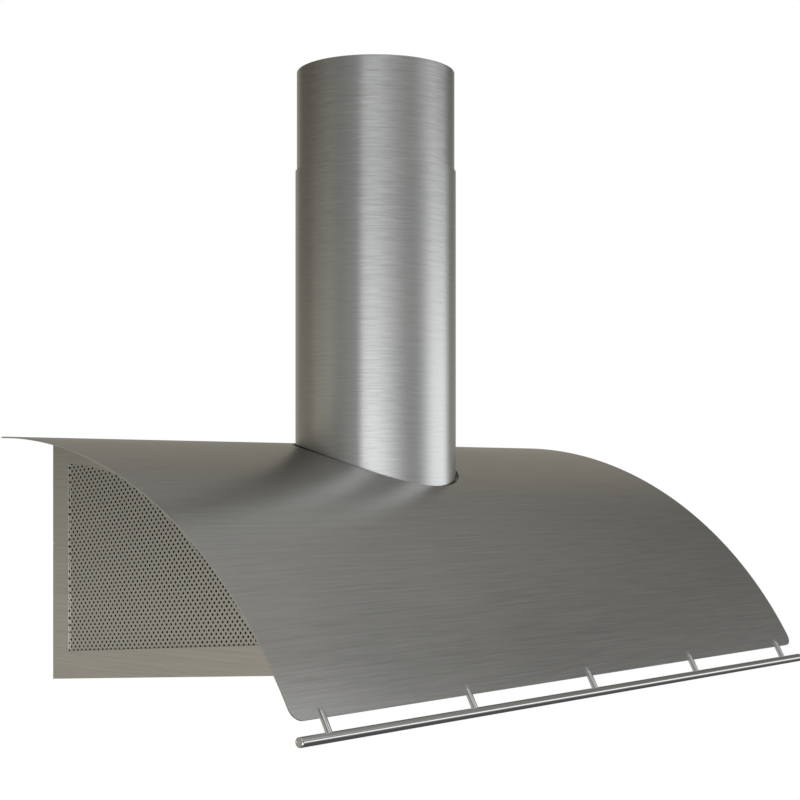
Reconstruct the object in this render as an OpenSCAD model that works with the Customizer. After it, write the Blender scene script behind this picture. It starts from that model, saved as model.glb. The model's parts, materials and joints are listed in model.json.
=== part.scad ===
// Wall mounted range hood: a curved sheet canopy over a shallow body with perforated sides,
// a round telescopic duct cover and a rail along the front edge. Millimetres.
// X runs to the right as seen from the room, the wall is the plane Y = 0, the room lies
// at -Y and Z is up. The origin is the centre of the four wall screws.

/* [Canopy] */
// Width of the curved sheet
canopy_w = 900; // [880:1:1200]
// Slope of the curve at the front edge, in degrees
edge_slope = 61.38; // [58:0.02:63]
// Thickness of the curved sheet
canopy_t = 1.5; // [1:0.1:3]
// Distance from the wall to the front edge
canopy_reach = 423.5; // [418:0.5:480]
// How far behind the wall the centre line of the curve lies
arc_setback = 4; // [0:0.5:12]
// Rounding of the two front corners
corner_r = 13; // [2:0.5:30]

/* [Body] */
// Width over the two side panels
body_w = 769; // [764:1:860]
// How far the body's lower edge at the wall lies below the front edge of the canopy
body_skirt = 2.29; // [0:0.01:20]
// Rise of the lower edge towards the front, in degrees
floor_tilt = 5; // [3:0.5:6]
// Thickness of the side, rear and floor sheets
sheet_t = 1.2; // [0.8:0.1:1.6]
// Width of the folded edges inside the body
flange_w = 14; // [8:1:20]
// Gap left between nested sheets
seat_gap = 0.2; // [0.1:0.05:0.4]

/* [Wall fixing] */
// Height of the wall screws' centre above the lower edge
mount_h = 120; // [100:1:140]
// Distance between the wall screws, side to side
mount_dx = 620; // [500:1:680]
// Distance between the wall screws, up and down
mount_dz = 150; // [120:1:170]
// Diameter of the wall screw holes
mount_hole_d = 8; // [5:0.5:12]

/* [Side windows] */
// From the wall to the window
window_back = 26.3; // [20:0.1:60]
// From the lower edge to the window
window_low = 29; // [20:0.5:50]
// From the top of the canopy to the window
window_rim = 26.4; // [18:0.1:50]
// Thickness of the perforated sheet
screen_t = 0.8; // [0.5:0.1:1.5]
// How far the perforated sheet runs behind the frame
screen_lap = 10; // [5:0.5:12]
// Diameter of a hole in the perforated sheet
hole_d = 7; // [3:0.1:8]
// Distance between holes along a row
hole_pitch = 17; // [14:0.1:30]
// Distance between rows
hole_row = 9.4; // [9:0.1:20]

/* [Duct cover] */
// Distance from the wall to the centre line of the cover
cover_axis = 115.7; // [110:0.1:122]
// Outer diameter of the fixed lower cover
cover_lower_d = 190.8; // [188:0.1:200]
// Outer diameter of the sliding upper cover
cover_upper_d = 187.4; // [184:0.1:188]
// Thickness of the cover sheets
cover_t = 0.8; // [0.6:0.1:1]
// Height of the step between the covers above the top of the canopy
cover_step_h = 320.8; // [280:0.1:400]
// Length of the upper cover that shows above the step
cover_show = 117.3; // [110:0.1:200]
// Length of the upper cover inside the lower one
cover_hidden = 300; // [240:1:310]
// Clearance round the lower cover where it passes the canopy
cover_gap = 3.5; // [2:0.1:8]

/* [Rail] */
// Diameter of the rail
rail_d = 9.5; // [8:0.5:16]
// How far the rail runs past each end of the canopy
rail_over = 2; // [0:0.5:30]
// Distance from the canopy's edge to the centre of the rail
rail_drop = 18.7; // [15:0.1:40]
// Wall of the rail's tube
rail_wall = 1; // [0.6:0.1:1.5]
// Diameter of a rail post
post_d = 6.5; // [5:0.1:7.5]
// Distance from the end of the canopy to the first post
post_inset = 38; // [16:1:100]
// How far a post reaches up over the canopy's edge
post_rise = 10.5; // [6:0.1:16]

/* [Filters] */
// Width of a filter
filter_w = 350; // [300:1:352]
// Length of a filter, from back to front
filter_l = 270; // [240:1:275]
// Thickness of a filter
filter_t = 10; // [9:0.1:12]
// Distance from the wall to the filter openings
filter_back = 32; // [24:1:38]
// Width of the bar between the two openings
filter_bar = 16; // [10:1:20]
// Sheet of the filter frames and baffles
filter_sheet = 0.8; // [0.5:0.1:1]
// Distance between baffles of one layer
baffle_pitch = 34; // [30:1:40]
// Width of a baffle
baffle_w = 24; // [20:1:26]

/* [Blower] */
// Height of the deck that carries the blower above the lower edge
deck_h = 190; // [186:1:192]
// Depth of the deck from the wall
deck_l = 228; // [222:1:230]
// Width of the deck
deck_w = 380; // [240:1:500]
// Thickness of the deck
deck_t = 1.5; // [1:0.1:2]
// Outer diameter of the duct collar
collar_d = 150; // [148:0.5:156]
// Length of the duct collar above the deck
collar_l = 60; // [50:1:70]
// Radius of the scroll where it starts
scroll_r_start = 67; // [65:0.5:68]
// Radius of the scroll where it opens into the throat
scroll_r_end = 90; // [86:0.5:92]
// Width of the scroll
scroll_w = 116; // [112:1:118]
// Wall of the scroll
scroll_t = 1.6; // [1:0.1:2]
// Outer diameter of the blower wheel
wheel_d = 124; // [116:1:126]
// Width of the blower wheel
wheel_w = 100; // [80:1:102]
// Number of blades on the wheel
blade_count = 30; // [12:1:40]
// Diameter of the motor
motor_d = 72; // [50:1:76]
// Diameter of the motor shaft
shaft_d = 8; // [6:0.5:10]

/* [Controls and lamps] */
// Diameter of a push button
button_d = 12; // [8:0.5:14]
// Travel of a push button
button_travel = 1.5; // [0.5:0.1:2]
// Distance between push buttons
button_pitch = 22; // [20:0.5:26]
// Diameter of the lamp lens
lens_d = 53.6; // [40:0.1:60]
// Distance from the middle of the hood to a lamp
lamp_x = 250; // [180:1:320]
// Distance from the wall to the lamps and buttons, along the floor
front_u = 345; // [342:1:350]

/* [Hidden] */
$fn = 180;
// Overrun of every cut
cut_over = 1;
// Running clearance of pins in their holes
run_gap = 0.06;
// Clearance of a pin or shaft that is held fast
tight_gap = 0.02;

// How far the arc of a front corner is moved out, so that it crosses the straight edges
corner_blend = 0.05;

// Body
canopy_r = (canopy_reach + arc_setback) / sin(edge_slope);
canopy_drop = sqrt(canopy_r * canopy_r - arc_setback * arc_setback) - canopy_r * cos(edge_slope);
body_h = canopy_drop + body_skirt;
low_z = -mount_h;
top_z = low_z + body_h;
arc_z = top_z - sqrt(canopy_r * canopy_r - arc_setback * arc_setback);
under_r = canopy_r - canopy_t - seat_gap;
inner_r = under_r - sheet_t - seat_gap;
half_in = body_w / 2 - sheet_t - seat_gap;
floor_top = 2 * sheet_t;
// Height of the folded edge along each side of the floor
floor_edge_h = 12;
// Slots in the side panels' rear edges, for the tabs of the rear panel
notch_low_h = 7;
notch_high_h = 143;
notch_l = 4;
notch_w = 1.6;

// Studs under the canopy and the nuts that hold it
stud_shares = [0.2, 0.5, 0.8];
stud_r = 2;
stud_l = 8;
nut_r = 4;
nut_h = 3.2;
stud_x = half_in - flange_w / 2;

// Duct cover
lower_r = cover_lower_d / 2;
upper_r = cover_upper_d / 2;
canopy_hole_r = lower_r + cover_gap;
deck_z = low_z + deck_h;
deck_top = deck_z + deck_t;
step_z = top_z + cover_step_h;
cover_top = step_z + cover_show;
// Ring on the deck, inside the foot of the lower cover
ring_h = 12;
ring_lip = 9;
ring_t = 1.5;
// Bracket that holds the top of the cover to the wall
bracket_w = 20;
bracket_h = 45;
bracket_t = 2;
bracket_hole_d = 5;
bracket_dz = 25;

// Rail
post_pitch = (canopy_w / 2 - post_inset) / 2;
rail_l = canopy_w + 2 * rail_over;
rail_r = rail_d / 2;
post_r = post_d / 2;
// Depth of a post's foot in the rail
post_seat = 2.5;
// Clearance of a post's fork on each face of the canopy's sheet
fork_gap = 0.1;
// Length of the slant at the tip of a post
bevel_l = 8.5;
// Caps in the ends of the rail
cap_t = 1.5;
cap_bevel = 0.6;
cap_groove = 0.3;
cap_plug_l = 6;

// Filters
filter_x = (filter_w + filter_bar) / 2;
filter_gap = 3;
filter_side_gap = 1.5;
filter_front_gap = 2;
filter_u = filter_back + filter_gap;
// Width of the frame's rim round the baffles, and of the plate at its front
filter_lip = 8;
filter_plate = 26;
filter_slack = 0.2;
baffle_leg = 4;
// Tabs that rest on the floor behind the opening
tab_w = 20;
tab_x = 110;
tab_l = 8;
tab_lift = 0.3;
// Ears that carry the wire pull
ear_w = 2;
ear_l = 8;
ear_h = 8;
ear_x = 27;
pull_w = 60;
pull_drop = 22;
pull_r = 1.5;
pull_u = filter_u + filter_l - filter_plate / 2;
pull_v = sheet_t - ear_h / 2;
// Magnets in front of each filter
magnet_w = 20;
magnet_l = 8;
magnet_h = 6;
magnet_gap = 0.5;
magnet_x = 120;

// Lamps
lens_r = lens_d / 2;
lens_t = 2;
// Ring under the floor, its lip under the lens and its sleeve through the floor
bezel_band = 6;
bezel_r = lens_r + bezel_band;
bezel_t = 1.5;
bezel_lip = 1.8;
sleeve_wall = 1.7;
sleeve_r = lens_r + seat_gap + sleeve_wall;
sleeve_h = 8.8;
can_wall = 1.5;
can_h = 22;
cutout_gap = 0.4;

// Controls
button_names = ["button_light", "button_off", "button_low", "button_middle", "button_high"];
button_r = button_d / 2;
button_proud = 2.5;
button_flange = 2;
button_flange_t = 1.2;
button_slack = 0.4;
stem_r = 2;
stem_l = 2.4;
stem_gap = 0.3;
// Switches on the board over the buttons
switch_w = 6;
switch_h = 3.5;
plunger_r = 1.5;
plunger_h = 0.5;
board_t = 1.6;
board_v = floor_top + seat_gap + button_flange_t + stem_l + button_travel + stem_gap + plunger_h
    + switch_h;
case_h = 18;
case_wall = 2;
case_end = 16;
case_half_l = 14;
case_half_w = 2 * button_pitch + case_end;

// Blower
collar_r = collar_d / 2;
collar_t = 1.2;
collar_flange = 12;
// Square throat of the scroll under the deck
throat_l = 96;
throat_w = scroll_w - 2 * scroll_t;
throat_back = cover_axis - throat_l / 2;
scroll_y = throat_back + scroll_r_end;
scroll_drop = 74;
scroll_z = deck_z - scroll_drop;
// Air inlets in the sides of the scroll
inlet_r = 50;
inlet_lip_l = 4;
throat_flange = 8;
wheel_r = wheel_d / 2;
blade_l = 10;
blade_t = 1;
blade_lean = 35;
blade_foot_share = 0.5;
wheel_ring_t = 2;
// Hub, shaft and motor, placed along the axis from the middle of the hood
hub_x = 3;
hub_r = 9;
hub_l = 14;
motor_end_x = -5;
motor_l = 68;
shaft_r = shaft_d / 2;
shaft_tail = 8;
shaft_tip_x = 27;
wheel_nut_h = 5;
wheel_nut_r = 7.5;
// Clamp round the motor, its arms on the side of the scroll
clamp_t = 3.8;
clamp_l = 10;
arm_w = 12;
arm_t = 2;
arm_end_r = 62;
// Screws through the scroll's flange, the deck and the collar's flange
screw_r = 2;
screw_head_r = 3.8;
screw_head_h = 2.2;
screw_l = 8;

// Damper
pin_r = 1.5;
damper_rise = 29;
damper_z = deck_top + damper_rise;
knuckle_r = 3;
knuckle_n = 6;
knuckle_gap = 0.4;
flap_t = 1;
flap_gap = 0.5;
ledge_w = 3.5;
ledge_t = 1;
ledge_gap = 0.1;

// Wiring, below the hole for the supply cable in the rear panel
cable_hole_r = 12;
cable_hole_rise = 28;
box_x = 245;
box_z = 50;
box_w = 90;
box_h = 60;
box_l = 40;
box_wall = 2;
cable_hole_z = box_z + box_h / 2 + cable_hole_rise;
gland_r = 8;
gland_hex_r = 10;
gland_bore_r = 3.75;
gland_h = 12;
gland_nut_h = 4;
capacitor_r = 14;
capacitor_l = 50;
terminal_w = 60;
terminal_l = 14;
terminal_h = 16;
terminal_poles = 5;
pole_r = 2;
pole_depth = 8;

function far() = 2 * canopy_r;

// A point of the curve's plane, as distance from the wall and height
function arc_point(r, a) = [-arc_setback + r * sin(a), arc_z + r * cos(a)];

// Height of the circle of radius r about the curve's centre line, at a distance from the wall
function arc_height(r, d) = arc_z + sqrt(r * r - pow(d + arc_setback, 2));

// A point given along the tilted floor and square to it, from the rear lower edge
function floor_point(u, v) = [
    u * cos(floor_tilt) - v * sin(floor_tilt),
    low_z + u * sin(floor_tilt) + v * cos(floor_tilt)
];

// Distance along the floor at which the line at height v is d from the wall
function floor_u(d, v) = (d + v * sin(floor_tilt)) / cos(floor_tilt);

// Distance along the floor at which the line at height v meets the circle of radius r
function floor_reach(v, r) =
    let (p = floor_point(0, v) - [-arc_setback, arc_z])
    let (b = p.x * cos(floor_tilt) + p.y * sin(floor_tilt))
    sqrt(b * b - (p.x * p.x + p.y * p.y - r * r)) - b;

// Extrudes a drawing of distance from the wall and height, from x_high towards -X
module side_on(x_high, w) {
    translate([x_high, 0, 0]) rotate([90, 0, -90]) linear_extrude(w) children();
}

// Places its children on the tilted floor: -Y is forward along it
module on_floor() {
    translate([0, 0, low_z]) rotate([-floor_tilt, 0, 0]) children();
}

// A block on the floor, centred on x, from u forwards and from v upwards
module slab(x, u, v, w, l, h) {
    translate([x - w / 2, -u - l, v]) cube([w, l, h]);
}

// Mirrors its children to the left side for side = -1
module on_side(side) {
    mirror([side < 0 ? 1 : 0, 0, 0]) children();
}

// Places its children at the middle of the canopy's front edge: +Y up along the sheet,
// +Z out of it
module at_edge() {
    p = arc_point(canopy_r - canopy_t / 2, edge_slope);
    translate([0, -p.x, p.y]) rotate([edge_slope, 0, 0]) children();
}

module arc_disc(r) {
    translate([-arc_setback, arc_z]) circle(r);
}

// The part of the body's side that lies back from the wall, low above the lower edge and
// rim below the canopy's outer surface
module side_region(back, low, rim) {
    intersection() {
        arc_disc(canopy_r - rim);
        polygon([
            floor_point(floor_u(back, low), low),
            floor_point(canopy_r, low),
            [canopy_r, canopy_r],
            [back, canopy_r]
        ]);
    }
}

module canopy_section() {
    centre = [-arc_setback, arc_z];
    intersection() {
        difference() {
            arc_disc(canopy_r);
            arc_disc(canopy_r - canopy_t);
        }
        polygon([
            centre,
            centre + [0, far()],
            centre + [far(), far()],
            centre + far() * [sin(edge_slope), cos(edge_slope)]
        ]);
        translate([0, arc_z]) square(far());
    }
}

module canopy() color("darkgray") {
    difference() {
        side_on(canopy_w / 2, canopy_w) canopy_section();
        translate([0, -cover_axis, 0]) cylinder(r = canopy_hole_r, h = top_z + cut_over);
        for (side = [-1, 1]) at_edge() on_side(side) corner_cut();
    }
}

// What rounds off a front corner; the arc meets each straight edge at a slight angle
module corner_cut() {
    translate([canopy_w / 2 - corner_r, 0, -2 * canopy_t]) linear_extrude(4 * canopy_t) {
        difference() {
            translate([0, -cut_over]) square([corner_r + cut_over, corner_r + cut_over]);
            translate([corner_blend, corner_r - corner_blend]) circle(corner_r);
        }
    }
}

module side_panel(side) color("silver") {
    rim = canopy_t + seat_gap;
    on_side(side) {
        difference() {
            side_on(body_w / 2, sheet_t + flange_w) side_region(0, 0, rim);
            side_on(body_w / 2 - sheet_t, far()) {
                side_region(2 * sheet_t, sheet_t, rim + sheet_t);
                translate([-cut_over, -far() / 2]) square([cut_over + sheet_t, far()]);
            }
            side_on(far(), 2 * far()) {
                side_region(window_back, window_low, window_rim);
            }
            side_on(far(), far() - body_w / 2 + sheet_t) for (h = [notch_low_h, notch_high_h]) {
                translate([-notch_l, low_z + h]) square([2 * notch_l, notch_w]);
            }
            for (share = stud_shares) stud_place(share) cylinder(r = stud_r + seat_gap, h = far());
        }
    }
}

// A point under the canopy over a side flange, +Z pointing out of the curve
module stud_place(share) {
    a = share * edge_slope;
    p = arc_point(under_r - stud_l, a);
    translate([stud_x, -p.x, p.y]) rotate([a, 0, 0]) children();
}

module canopy_studs() color("gray") {
    for (side = [-1, 1], share = stud_shares) on_side(side) stud_place(share) {
        cylinder(r = stud_r, h = stud_l);
        translate([0, 0, stud_l - sheet_t - seat_gap - nut_h]) cylinder(r = nut_r, h = nut_h, $fn = 6);
    }
}

// True for the centre of a hole that lies in the window or runs under its frame
function in_window(u, v) =
    let (p = floor_point(u, v), r = norm(p - [-arc_setback, arc_z]))
    p.x > window_back - hole_d / 2 && v > window_low - hole_d / 2
    && r < canopy_r - window_rim + hole_d / 2;

module side_screen(side) color("darkgray") {
    rows = ceil(body_h / hole_row);
    columns = ceil(canopy_r / hole_pitch);
    on_side(side) side_on(body_w / 2 - sheet_t - seat_gap, screen_t) difference() {
        side_region(window_back - screen_lap, window_low - screen_lap, window_rim - screen_lap);
        for (row = [0 : rows], column = [0 : columns]) {
            u = window_back + (column + (row % 2 == 0 ? 0 : 0.5)) * hole_pitch;
            v = window_low + row * hole_row;
            if (in_window(u, v)) translate(floor_point(u, v)) circle(hole_d / 2, $fn = 24);
        }
    }
}

module rear_panel() color("silver") {
    flange_top = arc_height(under_r, flange_w);
    lip_half = half_in - flange_w - seat_gap;
    difference() {
        union() {
            side_on(half_in, 2 * half_in) translate([0, low_z]) square([sheet_t, flange_top - low_z]);
            side_on(lip_half, 2 * lip_half) {
                translate([0, flange_top - sheet_t]) square([flange_w, sheet_t]);
                polygon([
                    floor_point(floor_u(0, 0), 0),
                    floor_point(flange_w, 0),
                    floor_point(flange_w, sheet_t),
                    floor_point(floor_u(0, sheet_t), sheet_t)
                ]);
            }
            for (h = [notch_low_h, notch_high_h]) {
                translate([-body_w / 2, -sheet_t, low_z + h + seat_gap]) {
                    cube([body_w, sheet_t, notch_w - 2 * seat_gap]);
                }
            }
        }
        for (x = [-1, 1], z = [-1, 1]) {
            translate([x * mount_dx / 2, cut_over, z * mount_dz / 2]) rotate([90, 0, 0]) {
                cylinder(r = mount_hole_d / 2, h = sheet_t + 2 * cut_over);
            }
        }
        translate([box_x, cut_over, cable_hole_z]) rotate([90, 0, 0]) {
            cylinder(r = cable_hole_r, h = sheet_t + 2 * cut_over);
        }
    }
}

module floor_pan() color("silver") {
    back_u = floor_u(floor_top, floor_top) + seat_gap;
    front = floor_reach(floor_top, inner_r);
    edge_front = floor_reach(floor_top + floor_edge_h, inner_r);
    edge_v = sheet_t + floor_edge_h;
    on_floor() difference() {
        union() {
            slab(0, back_u, sheet_t, 2 * half_in, front - back_u, sheet_t);
            for (side = [-1, 1]) {
                slab(side * (half_in - sheet_t / 2), back_u, sheet_t, sheet_t, edge_front - back_u, edge_v);
            }
        }
        for (side = [-1, 1]) {
            slab(side * filter_x, filter_back, 0, filter_w + 2 * filter_side_gap,
                filter_l + filter_gap + filter_front_gap, far());
            translate([side * lamp_x, -front_u, 0]) cylinder(r = sleeve_r + cutout_gap, h = far());
        }
        for (i = [-2 : 2]) {
            translate([i * button_pitch, -front_u, 0]) cylinder(r = button_r + button_slack, h = far());
        }
    }
}

module deck() color("gainsboro") {
    front_top = arc_height(under_r, deck_l);
    difference() {
        side_on(deck_w / 2, deck_w) {
            translate([sheet_t + seat_gap, deck_z]) square([deck_l - sheet_t - seat_gap, deck_t]);
            translate([sheet_t + seat_gap, deck_z - flange_w]) square([deck_t, flange_w]);
            translate([deck_l - deck_t, deck_z]) square([deck_t, front_top - deck_z]);
        }
        translate([0, -cover_axis, deck_z - cut_over]) {
            cylinder(r = collar_r - collar_t, h = deck_t + 2 * cut_over);
        }
        deck_screw_places() translate([0, 0, -cut_over]) {
            cylinder(r = screw_r + seat_gap, h = deck_t + 2 * cut_over);
        }
    }
}

// The four screws that hold the scroll under the deck and the collar on it
module deck_screw_places() {
    dx = (throat_w + throat_flange + 2 * scroll_t) / 2;
    dy = (throat_l + throat_flange) / 2;
    for (x = [-dx, dx], y = [-dy, dy]) translate([x, y - cover_axis, deck_z]) children();
}

module deck_screws() color("gray") {
    deck_screw_places() {
        translate([0, 0, -scroll_t - screw_head_h]) cylinder(r = screw_head_r, h = screw_head_h);
        translate([0, 0, -scroll_t]) cylinder(r = screw_r, h = screw_l);
    }
}

module cover_ring() color("silver") {
    ring_r = lower_r - cover_t - seat_gap;
    translate([0, -cover_axis, deck_top]) rotate_extrude() {
        translate([lower_r - ring_lip, 0]) square([ring_lip, ring_t]);
        translate([ring_r - ring_t, 0]) square([ring_t, ring_h]);
    }
}

module cover_tube(r, low, high) {
    translate([0, -cover_axis, low]) rotate_extrude() {
        translate([r - cover_t, 0]) square([cover_t, high - low]);
    }
}

module cover_lower() color("darkgray") {
    cover_tube(lower_r, deck_top + ring_t, step_z);
}

module cover_upper() color("darkgray") {
    cover_tube(upper_r, step_z - cover_hidden, cover_top);
}

module cover_bracket() color("silver") {
    saddle_r = upper_r + seat_gap;
    difference() {
        intersection() {
            translate([-bracket_w / 2, -cover_axis, cover_top - bracket_h]) {
                cube([bracket_w, cover_axis, bracket_h]);
            }
            union() {
                translate([-bracket_w / 2, -bracket_t, cover_top - bracket_h]) {
                    cube([bracket_w, bracket_t, bracket_h]);
                }
                difference() {
                    translate([-bracket_w / 2, -cover_axis, cover_top - (bracket_h + bracket_t) / 2]) {
                        cube([bracket_w, cover_axis, bracket_t]);
                    }
                    translate([0, -cover_axis, 0]) cylinder(r = saddle_r, h = far());
                }
                translate([0, -cover_axis, cover_top - bracket_h]) rotate_extrude() {
                    translate([saddle_r, 0]) square([bracket_t, bracket_h]);
                }
            }
        }
        for (z = [-1, 1]) {
            translate([0, cut_over, cover_top - bracket_h / 2 + z * bracket_dz / 2]) rotate([90, 0, 0]) {
                cylinder(r = bracket_hole_d / 2, h = bracket_t + 2 * cut_over);
            }
        }
    }
}

// Turns a shape that stands on Z along the rail, from the rail's middle
module along_rail() {
    at_edge() translate([0, -rail_drop, 0]) rotate([0, 90, 0]) children();
}

module rail() color("lightgray") {
    length = rail_l - 2 * cap_t;
    difference() {
        along_rail() cylinder(r = rail_r, h = length, center = true);
        along_rail() cylinder(r = rail_r - rail_wall, h = length + cut_over, center = true);
        for (i = [-2 : 2]) at_edge() translate([i * post_pitch, -rail_drop, 0]) rotate([-90, 0, 0]) {
            cylinder(r = post_r + run_gap, h = rail_drop);
        }
    }
}

module rail_cap(side) color("silver") {
    on_side(side) along_rail() translate([0, 0, rail_l / 2 - cap_t]) {
        rotate_extrude() polygon([
            [0, 0],
            [rail_r - cap_groove, 0],
            [rail_r - cap_groove, cap_groove],
            [rail_r, 2 * cap_groove],
            [rail_r, cap_t - cap_bevel],
            [rail_r - cap_bevel, cap_t],
            [0, cap_t]
        ]);
        translate([0, 0, -cap_plug_l]) cylinder(r = rail_r - rail_wall - run_gap, h = cap_plug_l);
    }
}

// A post: a rod forked over the canopy's edge, its tip cut to a slant on both sides
module rail_post(index) color("lightgray") {
    foot = -rail_drop + rail_r - post_seat;
    slant = atan(post_r / bevel_l);
    fork = canopy_t + 2 * fork_gap;
    at_edge() translate([index * post_pitch, 0, 0]) difference() {
        translate([0, foot, 0]) rotate([-90, 0, 0]) cylinder(r = post_r, h = post_rise - foot);
        translate([-post_r - cut_over, 0, -fork / 2]) {
            cube([post_d + 2 * cut_over, post_rise + cut_over, fork]);
        }
        for (face = [0, 1]) mirror([0, 0, face]) translate([0, post_rise, canopy_t / 2]) {
            rotate([-slant, 0, 0]) translate([-post_d, -far() / 2, 0]) cube([2 * post_d, far(), post_d]);
        }
    }
}

module filter_frame(side) color("silver") {
    on_floor() translate([side * filter_x, 0, 0]) {
        difference() {
            slab(0, filter_u, sheet_t, filter_w, filter_l, filter_t);
            slab(0, filter_u + filter_sheet, sheet_t + filter_sheet, filter_w - 2 * filter_sheet,
                filter_l - 2 * filter_sheet, filter_t - 2 * filter_sheet);
            slab(0, filter_u + filter_lip, 0, filter_w - 2 * filter_lip,
                filter_l - filter_lip - filter_plate, sheet_t + 2 * filter_sheet);
            slab(0, filter_u + filter_lip, filter_t, filter_w - 2 * filter_lip,
                filter_l - 2 * filter_lip, filter_t);
        }
        for (x = [-tab_x, tab_x]) {
            slab(x, filter_back - tab_l, floor_top + tab_lift, tab_w, tab_l + filter_gap, sheet_t);
        }
        for (x = [-ear_x, ear_x]) difference() {
            slab(x, pull_u - ear_l / 2, sheet_t - ear_h, ear_w, ear_l, ear_h);
            translate([x, -pull_u, pull_v]) rotate([0, 90, 0]) {
                cylinder(r = pull_r + run_gap, h = ear_w + 2 * cut_over, center = true);
            }
        }
    }
}

// Channels of two layers, open towards each other and set half a step apart
module filter_baffles(side) color("gainsboro") {
    inside_w = filter_w - 2 * filter_sheet;
    steps = floor((inside_w - baffle_w) / baffle_pitch);
    low = sheet_t + filter_sheet + filter_slack;
    high = sheet_t + filter_t - filter_sheet - filter_slack;
    back = filter_u + filter_sheet + filter_slack;
    length = filter_l - 2 * (filter_sheet + filter_slack);
    on_floor() translate([side * filter_x, -back, 0]) rotate([90, 0, 0]) linear_extrude(length) {
        for (i = [0 : steps]) translate([(i - steps / 2) * baffle_pitch, low]) channel();
        for (i = [0.5 : steps - 0.5]) translate([(i - steps / 2) * baffle_pitch, high]) {
            mirror([0, 1]) channel();
        }
    }
}

module channel() {
    difference() {
        translate([-baffle_w / 2, 0]) square([baffle_w, baffle_leg]);
        translate([-baffle_w / 2 + filter_sheet, filter_sheet]) {
            square([baffle_w - 2 * filter_sheet, baffle_leg]);
        }
    }
}

// A wire pull that hangs from two ears under the filter's front
module filter_pull(side) color("gray") {
    on_floor() translate([side * filter_x, -pull_u, pull_v]) rotate([floor_tilt, 0, 0]) {
        for (x = [-1, 1]) {
            inner = ear_x - ear_w;
            translate([x * pull_w / 2, 0, -pull_drop]) cylinder(r = pull_r, h = pull_drop);
            translate([x * pull_w / 2, 0, -pull_drop]) sphere(pull_r);
            translate([x * pull_w / 2, 0, 0]) sphere(pull_r);
            translate([x * (pull_w / 2 + inner) / 2, 0, 0]) rotate([0, 90, 0]) {
                cylinder(r = pull_r, h = pull_w / 2 - inner, center = true);
            }
        }
        translate([0, 0, -pull_drop]) rotate([0, 90, 0]) cylinder(r = pull_r, h = pull_w, center = true);
    }
}

module filter_magnets() color("dimgray") {
    on_floor() for (side = [-1, 1], x = [-magnet_x, magnet_x]) {
        slab(side * filter_x + x, filter_u + filter_l + magnet_gap, floor_top, magnet_w, magnet_l, magnet_h);
    }
}

module at_lamp(side) {
    on_floor() translate([side * lamp_x, -front_u, sheet_t]) children();
}

module lamp_bezel(side) color("silver") {
    at_lamp(side) rotate_extrude() {
        translate([lens_r - bezel_lip, -bezel_t]) square([bezel_r - lens_r + bezel_lip, bezel_t]);
        translate([lens_r + seat_gap, 0]) square([sleeve_r - lens_r - seat_gap, sleeve_h]);
    }
}

module lamp_lens(side) color("white") {
    at_lamp(side) cylinder(r = lens_r, h = lens_t);
}

module lamp_can(side) color("dimgray") {
    at_lamp(side) translate([0, 0, sleeve_h]) difference() {
        cylinder(r = sleeve_r, h = can_h);
        translate([0, 0, -cut_over]) cylinder(r = sleeve_r - can_wall, h = can_h - can_wall + cut_over);
    }
}

module button(index) color("silver") {
    on_floor() translate([index * button_pitch, -front_u, 0]) {
        translate([0, 0, sheet_t - button_proud]) {
            cylinder(r = button_r, h = button_proud + sheet_t + seat_gap);
        }
        translate([0, 0, floor_top + seat_gap]) {
            cylinder(r = button_r + button_flange, h = button_flange_t);
            cylinder(r = stem_r, h = button_flange_t + stem_l);
        }
    }
}

module control_case() color("dimgray") {
    on_floor() {
        difference() {
            slab(0, front_u - case_half_l, floor_top, 2 * case_half_w, 2 * case_half_l, case_h);
            slab(0, front_u - case_half_l + case_wall, floor_top - cut_over,
                2 * (case_half_w - case_wall), 2 * (case_half_l - case_wall),
                case_h - case_wall + cut_over);
        }
        for (side = [-1, 1]) {
            slab(side * (case_half_w - 2 * case_wall), front_u - case_half_l + case_wall, board_v + board_t,
                case_wall, 2 * (case_half_l - case_wall), floor_top + case_h - board_v - board_t);
        }
    }
}

module control_board() color("darkgreen") {
    board_half = case_half_w - case_wall - seat_gap;
    on_floor() {
        slab(0, front_u - case_half_l + case_wall + seat_gap, board_v, 2 * board_half,
            2 * (case_half_l - case_wall - seat_gap), board_t);
        for (i = [-2 : 2]) {
            slab(i * button_pitch, front_u - switch_w / 2, board_v - switch_h, switch_w, switch_w, switch_h);
            translate([i * button_pitch, -front_u, board_v - switch_h - plunger_h]) {
                cylinder(r = plunger_r, h = plunger_h);
            }
        }
    }
}

// Outline of the scroll, drawn in by inset: a curve whose radius grows evenly from the
// throat's front edge round to its rear wall
module scroll_outline(inset) {
    steps = 32;
    start_a = asin((throat_back + throat_l - inset - scroll_y) / (scroll_r_start - inset));
    turn = 270 - start_a;
    spiral = [for (i = [0 : steps])
        let (a = start_a + turn * i / steps)
        let (r = scroll_r_start - inset + (scroll_r_end - scroll_r_start) * i / steps)
        [scroll_y + r * sin(a), scroll_z + r * cos(a)]
    ];
    polygon(concat(spiral, [
        [throat_back + inset, deck_z - scroll_t],
        [throat_back + throat_l - inset, deck_z - scroll_t]
    ]));
}

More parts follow.
